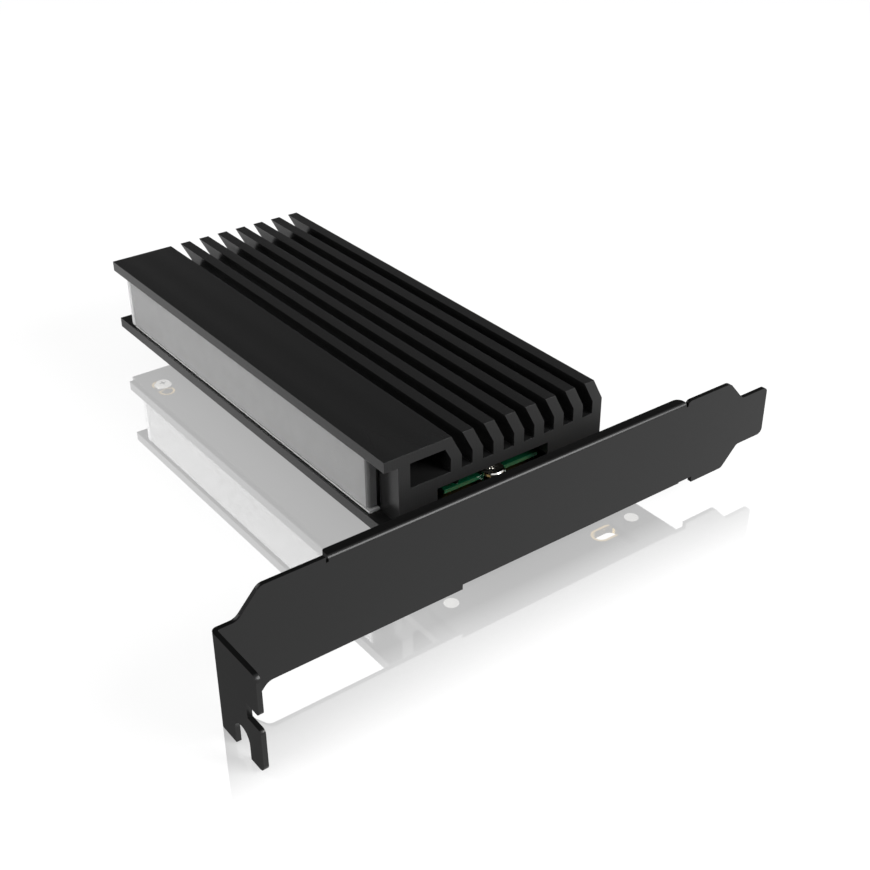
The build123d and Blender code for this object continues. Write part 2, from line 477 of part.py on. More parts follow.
def drive_small_parts():
    """Chip resistors and capacitors in rows, tan capacitors, a coil and the solder pads at the near end."""
    chips, tan_caps = [], []
    start = CONTROLLER_FAR + PARTS_START
    rows = int((CACHE_NEAR - start - CHIP_WIDTH) / CHIP_PITCH_Y)
    for row in range(rows):
        for col in range(4):
            x = DRIVE_LEFT + PARTS_INSET + col * CHIP_PITCH_X + (CHIP_LENGTH / 4 if row % 2 else 0)
            chips.append(block(x, start + row * CHIP_PITCH_Y, CHIP_LENGTH, CHIP_WIDTH, DRIVE_TOP, CHIP_HEIGHT))
    for row in range(3):
        chips.append(block(DRIVE_LEFT + 11.7, start + 0.5 + row * 1.9, CHIP_LENGTH, CHIP_WIDTH, DRIVE_TOP, CHIP_HEIGHT))
    for row in range(int((CACHE_NEAR - start - 2.0) / TAN_PITCH)):
        y = start + 2.2 + row * TAN_PITCH
        tan_caps.append(block(DRIVE_LEFT + 8.2, y, TAN_LENGTH, TAN_WIDTH, DRIVE_TOP, TAN_HEIGHT))
    coil = block(DRIVE_LEFT + 15.0, start + 3.9, COIL_SIDE, COIL_SIDE, DRIVE_TOP, COIL_HEIGHT)
    coil = chamfer(coil.edges().filter_by(Axis.Z), 0.5)
    places = [(x, SOLDER_WIDE) for x in SOLDER_WIDE_PLACES]
    places += [(SOLDER_NARROW_FIRST + (i - 5 if i < 2 else i - 2) * SOLDER_NARROW_PITCH, SOLDER_NARROW) for i in range(6)]
    pads = [block(DRIVE_LEFT + x, DRIVE_NEAR + SOLDER_LINE, width, SOLDER_DEPTH, DRIVE_TOP, FOIL) for x, width in places]
    pads.append(disc(DRIVE_LEFT + SOLDER_DOT_X, DRIVE_NEAR + SOLDER_DOT_Y, SOLDER_DOT_R, DRIVE_TOP, DRIVE_TOP + FOIL))
    return chips, tan_caps, [coil], pads


def sink_profile():
    """Section of the extrusion: hooked flange, light bar groove, roof, bent fins and stepped underside."""
    points = [(0, -HOOK_DROP), (-HOOK, -HOOK_DROP), (-HOOK, GROOVE_FLOOR), (GROOVE_WALL, GROOVE_FLOOR),
              (GROOVE_WALL, ROOF_UNDER), (-HOOK, ROOF_UNDER), (-HOOK, ROOF_TOP)]
    for i in range(FIN_COUNT):
        wall = FIRST_SLOT + i * FIN_PITCH
        fin = wall + FIN_GAP
        points += [(wall - FIN_LEAN, ROOF_TOP), (wall, FIN_BEND), (wall, SLOT_FLOOR),
                   (fin, SLOT_FLOOR), (fin, FIN_BEND), (fin - FIN_LEAN, ROOF_TOP)]
    points += [(SINK_RIGHT - FIN_LEAN, ROOF_TOP), (SINK_RIGHT, FIN_BEND), (SINK_RIGHT, 0)]
    left, right = DRIVE_CENTRE - RECESS_LEFT, DRIVE_CENTRE + RECESS_RIGHT
    points += [(LEDGE_END, 0), (LEDGE_END, LEDGE), (right, LEDGE), (right, CEILING),
               (left, CEILING), (left, LEDGE), (left - LEDGE_LEFT, LEDGE), (left - LEDGE_LEFT, 0), (0, 0)]
    return make_face(Polyline(*[(SINK_X + x, SINK_Z + z) for x, z in points], close=True))


def sink_channel():
    """Section of the closed channel between the groove's wall and the first fin slot."""
    left, right = GROOVE_WALL + CHANNEL_WALL, FIRST_SLOT - CHANNEL_WALL
    rise = ROOF_UNDER - FIN_BEND
    points = [(left, SLOT_FLOOR), (left, ROOF_UNDER), (right - rise * FIN_LEAN / FIN_BENT, ROOF_UNDER),
              (right, FIN_BEND), (right, SLOT_FLOOR)]
    return make_face(Polyline(*[(SINK_X + x, SINK_Z + z) for x, z in points], close=True))


def sink():
    """Extruded heat sink with blind screw holes and a window over each light emitting diode."""
    solid = along_y(sink_profile(), SINK_NEAR, SINK_LENGTH)
    solid -= along_y(sink_channel(), SINK_NEAR - 1, SINK_LENGTH + 2)
    depth = BOARD_BOTTOM - FOIL + SINK_SCREW_LENGTH + SINK_HOLE_SPARE
    for x in SLOT_X:
        for y in SLOT_Y:
            solid -= disc(x, y, SINK_SCREW_R + SCREW_CLEARANCE, SINK_Z - 1, depth)
    half_x = LED_BASE_WIDTH / 2 + WINDOW_SPARE_X
    half_y = LED_BASE_LENGTH / 2 + WINDOW_SPARE_Y
    for y in led_places():
        solid -= box(LED_X - half_x, LED_X + half_x, y - half_y, y + half_y, SINK_Z - 1, SINK_Z + GROOVE_FLOOR)
    return solid


def led_places():
    """Y positions of the light emitting diodes."""
    return [LED_FIRST_Y + i * LED_PITCH for i in range(LED_COUNT)]


def screw(x, y, z, shank, head_r, head_h, shank_r, drive_r):
    """Pan head screw with a cross recess, its head above z and its shank below."""
    solid = disc(x, y, head_r, z, z + head_h) + disc(x, y, shank_r, z - shank, z)
    solid = chamfer(solid.edges().filter_by(GeomType.CIRCLE).sort_by(Axis.Z)[-1], head_h * 0.3)
    for turn in (0, 90):
        solid -= Pos(x, y, z + head_h) * Rot(0, 0, turn) * Box(drive_r * 2, drive_r * 0.42, head_h)
    return solid


def under_screw(x, y, z, *sizes):
    """The same screw pointing up, with its head below z."""
    return Pos(x, y, z) * Rot(180, 0, 0) * screw(0, 0, 0, *sizes)


def build():
    """Make every node as a list of solids."""
    z = BOARD_TOP
    nodes = {"bracket": [bracket()], "adapter_board": [board()], "slot_plating": slot_plating(),
             "heat_strip": [heat_strip()], "drive_socket": [socket_housing()], "socket_anchors": socket_anchors()}
    reach = BOARD_THICK + SHEET + BRACKET_SCREW_END
    nodes["bracket_screws"] = [screw(x, BRACKET_SCREW_Y, z, reach, BRACKET_HEAD_R, BRACKET_HEAD_HEIGHT,
                                     BRACKET_SCREW_R, BRACKET_HEAD_R / 2) for x in BRACKET_SCREW_X]
    nodes["edge_fingers_top"], nodes["edge_fingers_under"] = edge_fingers()
    nodes["socket_contacts_lower"], nodes["socket_contacts_upper"] = socket_contacts()
    nodes["led_bases"] = [block(LED_X, y, LED_BASE_WIDTH, LED_BASE_LENGTH, z, LED_BASE_HEIGHT) for y in led_places()]
    nodes["leds"] = [block(LED_X, y, LED_LENS_WIDTH, LED_LENS_LENGTH, z + LED_BASE_HEIGHT, LED_LENS_HEIGHT)
                     for y in led_places()]
    array_x, array_y = DRIVE_LEFT - ARRAY_GAP - ARRAY_WIDTH / 2, SOCKET_NEAR - ARRAY_LEAD + ARRAY_LENGTH / 2
    nodes["resistor_array"] = [block(array_x, array_y, ARRAY_WIDTH, ARRAY_LENGTH, z, ARRAY_HEIGHT)]
    end_x, end_y = (ARRAY_WIDTH + ARRAY_END) / 2, array_y - (ARRAY_COUNT - 1) * ARRAY_PITCH / 2
    nodes["resistor_array_ends"] = [block(array_x + side * end_x, end_y + i * ARRAY_PITCH, ARRAY_END, ARRAY_END_WIDTH,
                                          z, ARRAY_END_HEIGHT) for i in range(ARRAY_COUNT) for side in (-1, 1)]
    nodes["board_capacitors"] = [block(CAPACITOR_X, SOCKET_NEAR - CAPACITOR_LEAD + i * CAPACITOR_PITCH, CAPACITOR_LENGTH,
                                       CAPACITOR_WIDTH, z, CAPACITOR_HEIGHT) for i in range(CAPACITOR_COUNT)]
    post = disc(DRIVE_X, DRIVE_NEAR, STANDOFF_R, z, DRIVE_BOTTOM) + disc(DRIVE_X, DRIVE_NEAR, STANDOFF_STEM_R, BOARD_BOTTOM, z)
    nodes["drive_standoff"] = [post - disc(DRIVE_X, DRIVE_NEAR, DRIVE_SCREW_R + SCREW_CLEARANCE, BOARD_BOTTOM - 1, DRIVE_BOTTOM + 1)]
    nodes["drive_screw"] = [screw(DRIVE_X, DRIVE_NEAR, DRIVE_TOP, DRIVE_SCREW_LENGTH, DRIVE_HEAD_R, DRIVE_HEAD_HEIGHT,
                                  DRIVE_SCREW_R, 0.85)]
    half = PAD_WIDTH / 2
    nodes["lower_thermal_pad"] = [box(DRIVE_X - half, DRIVE_X + half, DRIVE_NEAR + LOWER_PAD_INSET,
                                      SOCKET_NEAR - LOWER_PAD_FAR_GAP, z + FOIL, DRIVE_BOTTOM)]
    nodes["upper_thermal_pad"] = [box(DRIVE_X - half, DRIVE_X + half, DRIVE_NEAR + UPPER_PAD_INSET,
                                      SOCKET_NEAR - UPPER_PAD_FAR_GAP, PACKAGE_TOP, SINK_Z + CEILING)]
    nodes["drive_board"] = [drive_board()]
    nodes["drive_fingers"] = drive_fingers()
    nodes["drive_memory"] = [package(PACKAGE_INSET, MEMORY_FIRST, MEMORY_WIDTH, MEMORY_LENGTH),
                             package(PACKAGE_INSET + MEMORY_STAGGER, MEMORY_SECOND, MEMORY_WIDTH, MEMORY_LENGTH)]
    nodes["drive_controller"] = [package(PACKAGE_INSET, DRIVE_NEAR + CONTROLLER_NEAR, CONTROLLER_WIDTH, CONTROLLER_LENGTH)]
    nodes["drive_cache"] = [package(PACKAGE_INSET + CACHE_STAGGER, CACHE_NEAR, CACHE_WIDTH, CACHE_LENGTH)]
    (nodes["drive_chip_parts"], nodes["drive_tan_capacitors"], nodes["drive_coil"],
     nodes["drive_solder_pads"]) = drive_small_parts()
    nodes["heat_sink"] = [sink()]
    wall, near, far = SINK_X + GROOVE_WALL, SINK_NEAR + BAR_NEAR_INSET, SINK_NEAR + SINK_LENGTH - BAR_FAR_INSET
    bar = box(wall - BAR_THICK, wall, near, far, SINK_Z + GROOVE_FLOOR, SINK_Z + ROOF_UNDER)
    nodes["light_bar"] = [chamfer([e for e in bar.edges() if e.center().X < wall - BAR_THICK + 0.01], 0.3)]
    nodes["heat_sink_screws"] = [under_screw(x, y, BOARD_BOTTOM - FOIL, SINK_SCREW_LENGTH, SINK_SCREW_HEAD_R,
                                             SINK_SCREW_HEAD, SINK_SCREW_R, 0.8) for x in SLOT_X for y in SLOT_Y]
    return nodes


def main():
    """Build, move to the final frame and export one file per node."""
    os.makedirs("parts", exist_ok=True)
    for name, solids in build().items():
        flat = []
        for solid in solids:
            flat += [MOVE * piece for piece in solid.solids()]
        shape = flat[0] if len(flat) == 1 else Compound(children=flat)
        shape.label = name
        export_step(shape, f"parts/{name}.step")
        reach = shape.bounding_box()
        print(name, len(flat), "solids", [round(v, 2) for v in (*reach.min, *reach.max)])


main()
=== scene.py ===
"""Looks of an expansion card that carries a solid state drive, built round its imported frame.

Everything is in metres in the row's frame: X along the bracket, Y from the bracket to the card's far end,
Z up from the floor. Kept solids get a procedural finish, and the pieces whose edges and small forms show
are modelled again over the solids that they stand for.
"""
from __future__ import annotations

import logging
import math
from dataclasses import dataclass
from enum import Enum
from typing import Callable, Iterable, Sequence

import bpy
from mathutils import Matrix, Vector


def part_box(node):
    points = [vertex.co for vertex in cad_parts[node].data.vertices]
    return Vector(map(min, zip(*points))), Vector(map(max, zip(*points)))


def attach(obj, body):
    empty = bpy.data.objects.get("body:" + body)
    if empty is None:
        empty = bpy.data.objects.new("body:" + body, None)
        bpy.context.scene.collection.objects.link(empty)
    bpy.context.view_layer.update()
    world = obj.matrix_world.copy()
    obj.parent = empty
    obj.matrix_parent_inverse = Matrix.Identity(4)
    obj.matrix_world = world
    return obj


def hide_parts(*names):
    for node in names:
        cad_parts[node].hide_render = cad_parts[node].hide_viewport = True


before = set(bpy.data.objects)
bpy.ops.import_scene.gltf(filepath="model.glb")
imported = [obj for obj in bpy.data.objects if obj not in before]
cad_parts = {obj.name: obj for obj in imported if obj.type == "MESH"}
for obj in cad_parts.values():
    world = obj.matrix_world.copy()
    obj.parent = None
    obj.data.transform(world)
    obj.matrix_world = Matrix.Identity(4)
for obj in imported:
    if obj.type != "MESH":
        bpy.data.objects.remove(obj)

LOG = logging.getLogger("adapter_card")
MM = 0.001
Colour = tuple[float, float, float]
Point = tuple[float, float, float]
Span = tuple[float, float]
Piece = bpy.types.Object
Tree = bpy.types.NodeTree
Node = bpy.types.Node
Socket = bpy.types.NodeSocket


def grey(level: float) -> Colour:
    """Colour with the same level in all three parts."""
    return level, level, level


class Pattern(Enum):
    """Surface patterns that a finish can ask for."""

    GRAIN = "fine grain"
    LINES = "drawn lines"
    WEAVE = "glass weave"


class Graph:
    """Short hand for placing and joining shader nodes in one tree."""

    def __init__(self, tree: Tree) -> None:
        """Keeps the tree that nodes go into.

        Args:
            tree: Node tree of a material, a world or a group.
        """
        self.tree = tree

    def node(self, kind: str, **values: object) -> Node:
        """Adds a node and sets its properties and unlinked inputs.

        Args:
            kind: Blender's node type name.
            values: Property names, or input names with spaces written as underscores.

        Returns:
            The new node.
        """
        made = self.tree.nodes.new(kind)
        for name, value in values.items():
            title = name.replace("_", " ")
            if title in made.inputs:
                made.inputs[title].default_value = value
            elif hasattr(made, name):
                setattr(made, name, value)
            else:
                made.inputs[title.title()].default_value = value
        return made

    def feed(self, source: Socket | float | Sequence[float], target: Socket) -> None:
        """Links a socket to an input, or sets the input where the source is a plain value.

        Args:
            source: Socket or plain value.
            target: The input that it goes to.
        """
        if isinstance(source, Socket):
            self.tree.links.new(source, target)
        else:
            target.default_value = source

    def math(self, operation: str, first: object, second: object = 0.0) -> Socket:
        """Adds a math node.

        Args:
            operation: Blender's name of the operation.
            first: First socket or value.
            second: Second socket or value.

        Returns:
            The result's socket.
        """
        made = self.node("ShaderNodeMath", operation=operation)
        self.feed(first, made.inputs[0])
        self.feed(second, made.inputs[1])
        return made.outputs[0]

    def span(self, value: object, low: float, high: float, to_low: float, to_high: float) -> Socket:
        """Maps a value from one range to another, clamped.

        Args:
            value: Socket or value to map.
            low: Start of its range.
            high: End of its range.
            to_low: Result at the start.
            to_high: Result at the end.

        Returns:
            The result's socket.
        """
        made = self.node("ShaderNodeMapRange")
        self.feed(value, made.inputs["Value"])
        ends = {"From Min": low, "From Max": high, "To Min": to_low, "To Max": to_high}
        for name, number in ends.items():
            made.inputs[name].default_value = number
        return made.outputs["Result"]

    def where(self) -> Socket:
        """Gives the place on the piece, in its own coordinates."""
        return self.node("ShaderNodeTexCoord").outputs["Object"]

    def noise(self, where: Socket, scale: object, detail: float, roughness: float = 0.5) -> Socket:
        """Adds a cloudy noise.

        Args:
            where: Socket of the place.
            scale: Socket or value of its scale, per metre.
            detail: How many finer layers it has.
            roughness: How strong those layers are.

        Returns:
            Socket of the noise, from 0 to 1.
        """
        made = self.node("ShaderNodeTexNoise", Detail=detail, Roughness=roughness)
        self.feed(where, made.inputs["Vector"])
        self.feed(scale, made.inputs["Scale"])
        return made.outputs["Fac"]

    def bands(self, where: Socket, scale: object, axis: str, distortion: float) -> Node:
        """Adds a wavy pattern of straight bands.

        Args:
            where: Socket of the place.
            scale: Socket or value of its scale, per metre.
            axis: X, Y or Z, the way that the bands follow each other.
            distortion: How wavy they are.

        Returns:
            The node, with output Fac.
        """
        made = self.node("ShaderNodeTexWave", wave_type="BANDS", Distortion=distortion)
        made.bands_direction = axis
        self.feed(where, made.inputs["Vector"])
        self.feed(scale, made.inputs["Scale"])
        return made

    def spread(self, noise: Socket) -> Socket:
        """Stretches the middle of a noise over the whole range from 0 to 1."""
        return self.span(noise, 0.3, 0.7, 0.0, 1.0)

    def parts(self, source: Socket) -> Node:
        """Splits a place or direction into its X, Y and Z.

        Args:
            source: Socket of the place or direction.

        Returns:
            The node, with outputs X, Y and Z.
        """
        made = self.node("ShaderNodeSeparateXYZ")
        self.feed(source, made.inputs[0])
        return made

    def facing(self, axis: str) -> Socket:
        """Finds how squarely a face looks along an axis, either way.

        Args:
            axis: X, Y or Z.

        Returns:
            Socket that is 1 on a face square to the axis.
        """
        normal = self.node("ShaderNodeNewGeometry").outputs["Normal"]
        return self.math("ABSOLUTE", self.parts(normal).outputs[axis])

    def glow(self, strength: object) -> Socket:
        """Adds a white emission of a given strength.

        Args:
            strength: Socket or value of its strength.

        Returns:
            The shader's socket.
        """
        made = self.node("ShaderNodeEmission", Color=(1.0, 1.0, 1.0, 1.0))
        self.feed(strength, made.inputs["Strength"])
        return made.outputs[0]

    def mix(self, share: object, first: Socket, second: Socket) -> Socket:
        """Mixes two shaders.

        Args:
            share: Socket or value, 0 for the first shader and 1 for the second.
            first: First shader.
            second: Second shader.

        Returns:
            The mixed shader's socket.
        """
        made = self.node("ShaderNodeMixShader")
        for source, target in zip((share, first, second), made.inputs):
            self.feed(source, target)
        return made.outputs[0]

    def blend(self, share: object, first: object, second: object) -> Socket:
        """Mixes two colours.

        Args:
            share: Socket or value, 0 for the first colour and 1 for the second.
            first: First colour.
            second: Second colour.

        Returns:
            The mixed colour's socket.
        """
        made = self.node("ShaderNodeMix", data_type="RGBA")
        self.feed(share, made.inputs[0])
        for colour, target in ((first, made.inputs[6]), (second, made.inputs[7])):
            if not isinstance(colour, Socket) and len(colour) == 3:
                colour = (*colour, 1.0)
            self.feed(colour, target)
        return made.outputs[2]


class Effects:
    """Shader node groups that the finishes share, each built once."""

    slow_share: float = 0.05
    drawn_out: Point = (1.0, 0.012, 1.0)
    broad_scale: float = 260.0
    thread_wave: float = 0.6
    cloud_scale: float = 120.0
    sharpness: Span = (0.505, 0.56)
    wear_scale: float = 900.0
    wear_range: Span = (0.35, 0.6)
    least_wear: float = 0.35

    def __init__(self) -> None:
        """Starts with no group built."""
        self.built: dict[str, Tree] = {}

    def group(self, name: str, inputs: dict[str, float], outputs: Iterable[str],
              fill: Callable[[Graph, Node, Node], None]) -> Tree:
        """Gives the group of that name, building it at its first use.

        Args:
            name: The group's name.
            inputs: Names and start values of its number inputs.
            outputs: Names of its number outputs.
            fill: Function that places the group's nodes.

        Returns:
            The node group.
        """
        if name in self.built:
            return self.built[name]
        tree = bpy.data.node_groups.new(name, "ShaderNodeTree")
        for title, value in inputs.items():
            socket = tree.interface.new_socket(name=title, in_out="INPUT", socket_type="NodeSocketFloat")
            socket.default_value = value
        for title in outputs:
            tree.interface.new_socket(name=title, in_out="OUTPUT", socket_type="NodeSocketFloat")
        graph = Graph(tree)
        fill(graph, graph.node("NodeGroupInput"), graph.node("NodeGroupOutput"))
        self.built[name] = tree
        return tree

    def place(self, graph: Graph, tree: Tree, **values: float) -> Node:
        """Puts a group into a material with its own values.

        Args:
            graph: The material's graph.
            tree: The group.
            values: Input names, lower case, and their values.

        Returns:
            The group node.
        """
        made = graph.node("ShaderNodeGroup")
        made.node_tree = tree
        for name, value in values.items():
            made.inputs[name.capitalize()].default_value = value
        return made

    def grain(self) -> Tree:
        """Group for a fine even grain with a slow change over the surface.

        Returns:
            The node group.
        """
        def fill(graph: Graph, source: Node, result: Node) -> None:
            """Places two noises, one fine and one slow.

            Args:
                graph: Graph of the group.
                source: The group's input node.
                result: The group's output node.
            """
            where, scale = graph.where(), source.outputs["Scale"]
            slow = graph.math("MULTIPLY", scale, self.slow_share)
            graph.feed(graph.noise(where, scale, 3.0, 0.55), result.inputs["Height"])
            graph.feed(graph.spread(graph.noise(where, slow, 2.0)), result.inputs["Mask"])
        return self.group("fine_grain", {"Scale": 9000.0}, ("Height", "Mask"), fill)

    def lines(self) -> Tree:
        """Group for the long fine lines that a die leaves along an extrusion.

        Returns:
            The node group.
        """
        def fill(graph: Graph, source: Node, result: Node) -> None:
            """Places a noise that is drawn out along Y, and a broad one.

            Args:
                graph: Graph of the group.
                source: The group's input node.
                result: The group's output node.
            """
            drawn = graph.node("ShaderNodeMapping", Scale=self.drawn_out)
            graph.feed(graph.where(), drawn.inputs["Vector"])
            where = drawn.outputs["Vector"]
            fine = graph.noise(where, source.outputs["Scale"], 4.0, 0.6)
            graph.feed(fine, result.inputs["Height"])
            graph.feed(graph.spread(graph.noise(where, self.broad_scale, 2.0)), result.inputs["Mask"])
        return self.group("drawn_lines", {"Scale": 3500.0}, ("Height", "Mask"), fill)

    def weave(self) -> Tree:
        """Group for the glass cloth that shows faintly through a board's coating.

        Returns:
            The node group.
        """
        def fill(graph: Graph, source: Node, result: Node) -> None:
            """Crosses two waves and adds a soft cloudiness.

            Args:
                graph: Graph of the group.
                source: The group's input node.
                result: The group's output node.
            """
            where = graph.where()
            threads = []
            for axis in ("X", "Y"):
                wave = graph.bands(where, source.outputs["Scale"], axis, self.thread_wave)
                wave.inputs["Detail Scale"].default_value = 2.0
                threads.append(wave.outputs["Fac"])
            graph.feed(graph.math("MULTIPLY", *threads), result.inputs["Height"])
            graph.feed(graph.spread(graph.noise(where, self.cloud_scale, 2.0)), result.inputs["Mask"])
        return self.group("glass_weave", {"Scale": 420.0}, ("Height", "Mask"), fill)

    def edges(self) -> Tree:
        """Group that finds a piece's outer edges, broken up a little, for rubbed or bright edges.

        Returns:
            The node group.
        """
        def fill(graph: Graph, source: Node, result: Node) -> None:
            """Turns the mesh's sharpness into a mask.

            Args:
                graph: Graph of the group.
                source: The group's input node.
                result: The group's output node.
            """
            sharp = graph.node("ShaderNodeNewGeometry").outputs["Pointiness"]
            found = graph.span(sharp, *self.sharpness, 0.0, 1.0)
            noise = graph.noise(graph.where(), self.wear_scale, 3.0)
            broken = graph.span(noise, *self.wear_range, self.least_wear, 1.0)
            mask = graph.math("MULTIPLY", found, broken)
            graph.feed(graph.math("MULTIPLY", mask, source.outputs["Amount"]), result.inputs["Mask"])
        return self.group("bright_edges", {"Amount": 0.5}, ("Mask",), fill)

    def pattern(self, graph: Graph, kind: Pattern, scale: float) -> Node:
        """Places the group for a named pattern.

        Args:
            graph: The material's graph.
            kind: Which pattern.
            scale: Its scale, per metre.

        Returns:
            The group node, with outputs Height and Mask.
        """
        trees = {Pattern.GRAIN: self.grain, Pattern.LINES: self.lines, Pattern.WEAVE: self.weave}
        return self.place(graph, trees[kind](), scale=scale)


@dataclass(frozen=True)
class Finish:
    """A surface finish: its colour, gloss, pattern and the relief of that pattern."""

    name: str
    colour: Colour
    roughness: float
    metallic: float = 0.0
    specular: float = 0.5
    pattern: Pattern = Pattern.GRAIN
    scale: float = 9000.0
    relief: float = 0.05
    depth: float = 0.00002
    colour_change: float = 0.12
    gloss_change: float = 0.06
    edge: float = 0.0
    edge_colour: Colour = grey(0.2)
    coat: float = 0.0
    coat_roughness: float = 0.15

    def start(self) -> tuple[bpy.types.Material, Graph, Node]:
        """Makes the material with its main shader.

        Returns:
            The material, its graph and the shader node.
        """
        material = bpy.data.materials.new(self.name)
        material.use_nodes = True
        material.node_tree.nodes.clear()
        graph = Graph(material.node_tree)
        shader = graph.node("ShaderNodeBsdfPrincipled", Metallic=self.metallic)
        shader.inputs["Specular IOR Level"].default_value = self.specular
        shader.inputs["Coat Weight"].default_value = self.coat
        shader.inputs["Coat Roughness"].default_value = self.coat_roughness
        output = graph.node("ShaderNodeOutputMaterial")
        graph.feed(shader.outputs[0], output.inputs["Surface"])
        return material, graph, shader

    @staticmethod
    def main_shader(material: bpy.types.Material) -> Node:
        """Finds the main shader of a built material."""
        return next(n for n in material.node_tree.nodes if n.bl_idname == "ShaderNodeBsdfPrincipled")

    def tint(self, graph: Graph, colour: object) -> object:
        """Hook for finishes that add colours of their own.

        Args:
            graph: The material's graph.
            colour: Colour socket so far.

        Returns:
            The colour's socket after the finish's own marks.
        """
        return colour

    def dull(self, graph: Graph, rough: object) -> object:
        """Hook for finishes whose gloss changes with the face.

        Args:
            graph: The material's graph.
            rough: Roughness socket so far.

        Returns:
            The roughness socket to use.
        """
        return rough

    def build(self, effects: Effects) -> bpy.types.Material:
        """Builds the material from the pattern and edge groups.

        Args:
            effects: Shared node groups.

        Returns:
            The finished material.
        """
        material, graph, shader = self.start()
        pattern = effects.pattern(graph, self.pattern, self.scale)
        mask = pattern.outputs["Mask"]
        darker = tuple(part * (1.0 - self.colour_change) for part in self.colour)
        lighter = tuple(min(1.0, part * (1.0 + self.colour_change)) for part in self.colour)
        colour = graph.blend(mask, darker, lighter)
        colour = self.tint(graph, colour)
        if self.edge:
            edges = effects.place(graph, effects.edges(), amount=self.edge)
            colour = graph.blend(edges.outputs["Mask"], colour, self.edge_colour)
        change = self.gloss_change
        rough = graph.span(mask, 0.0, 1.0, self.roughness - change, self.roughness + change)
        graph.feed(colour, shader.inputs["Base Color"])
        graph.feed(self.dull(graph, rough), shader.inputs["Roughness"])
        bump = graph.node("ShaderNodeBump", Strength=self.relief, Distance=self.depth)
        graph.feed(pattern.outputs["Height"], bump.inputs["Height"])
        graph.feed(bump.outputs["Normal"], shader.inputs["Normal"])
        return material


@dataclass(frozen=True)
class SheetFinish(Finish):
    """Coated sheet: glossier on its face and folds than on its tab, where the coat is cut back as painted
    shade that darkens the tab.
    """

    tab_share: float = 0.28
    fold_facing: float = 0.75
    tab_facing: float = 0.97

    def build(self, effects: Effects) -> bpy.types.Material:
        """Builds the material, with less coat where it looks along the bracket, as painted shade on the
        tab.

        Args:
            effects: Shared node groups.

        Returns:
            The finished material.
        """
        material = super().build(effects)
        graph = Graph(material.node_tree)
        # Painted shade: faces that look along X keep only part of the coat, so the tab renders darker.
        least = self.coat * self.tab_share
        painted_tab_shade = graph.span(graph.facing("X"), self.fold_facing, self.tab_facing, self.coat, least)
        graph.feed(painted_tab_shade, self.main_shader(material).inputs["Coat Weight"])
        return material


@dataclass(frozen=True)
class BoardFinish(Finish):
    """Coated board: the cut edges show the lighter glass and resin core."""

    core: Colour = (0.05, 0.05, 0.045)
    marks: Colour = grey(0.02)
    marks_scale: float = 240.0
    patch_scale: float = 90.0
    patch_range: Span = (0.5, 0.6)
    side_facing: Span = (0.35, 0.6)

    def tint(self, graph: Graph, colour: object) -> object:
        """Adds faint copper runs below the coating, and the core on the cut edges.

        Args:
            graph: The material's graph.
            colour: Colour socket so far.

        Returns:
            The colour's socket.
        """
        where = graph.where()
        runs = graph.node("ShaderNodeTexBrick", Scale=self.marks_scale, offset=0.5)
        graph.feed(where, runs.inputs["Vector"])
        sizes = {"Mortar Size": 0.035, "Mortar Smooth": 0.2, "Brick Width": 2.6, "Row Height": 0.35}
        for name, value in sizes.items():
            runs.inputs[name].default_value = value
        patches = graph.noise(where, self.patch_scale, 1.0)
        shown = graph.span(patches, *self.patch_range, 0.0, 1.0)
        colour = graph.blend(graph.math("MULTIPLY", runs.outputs["Fac"], shown), colour, self.marks)
        side = graph.span(graph.facing("Z"), *self.side_facing, 1.0, 0.0)
        return graph.blend(side, colour, self.core)


@dataclass(frozen=True)
class ShadedEndFinish(Finish):
    """Piece cut to length: its two end faces have a colour and gloss of their own, partly real cut faces
    and partly painted light.
    """

    # End-face colour: on the heat sink partly the bare cut and partly painted light, on the light bar's
    # core painted shade.
    end_tone_and_painted_light: Colour = grey(0.045)
    sawn_roughness: float = 0.5
    end_facing: Span = (0.9, 0.99)
    saw_scale: float = 900.0
    saw_wave: float = 3.0
    saw_dark: float = 0.85

    def ends(self, graph: Graph) -> Socket:
        """Finds the end faces, which look along the card."""
        return graph.span(graph.facing("Y"), *self.end_facing, 0.0, 1.0)

    def dull(self, graph: Graph, rough: object) -> object:
        """Gives the end faces their own roughness.

        Args:
            graph: The material's graph.
            rough: Roughness socket so far.

        Returns:
            The roughness socket.
        """
        ends = self.ends(graph)
        drawn = graph.math("MULTIPLY", graph.math("SUBTRACT", 1.0, ends), rough)
        return graph.math("ADD", drawn, graph.math("MULTIPLY", ends, self.sawn_roughness))

    def tint(self, graph: Graph, colour: object) -> object:
        """Colours the end faces, with fine saw marks: on the heat sink the lighter tone is partly the
        bare cut and partly painted light, and on the light bar's core the darker tone is painted shade.

        Args:
            graph: The material's graph.
            colour: Colour socket so far.

        Returns:
            The colour's socket.
        """
        marks = graph.bands(graph.where(), self.saw_scale, "X", self.saw_wave)
        # Painted light on the end faces, laid over real saw marks.
        dark = tuple(part * self.saw_dark for part in self.end_tone_and_painted_light)
        end_tone_and_painted_light = graph.blend(marks.outputs["Fac"], dark, self.end_tone_and_painted_light)
        return graph.blend(self.ends(graph), colour, end_tone_and_painted_light)


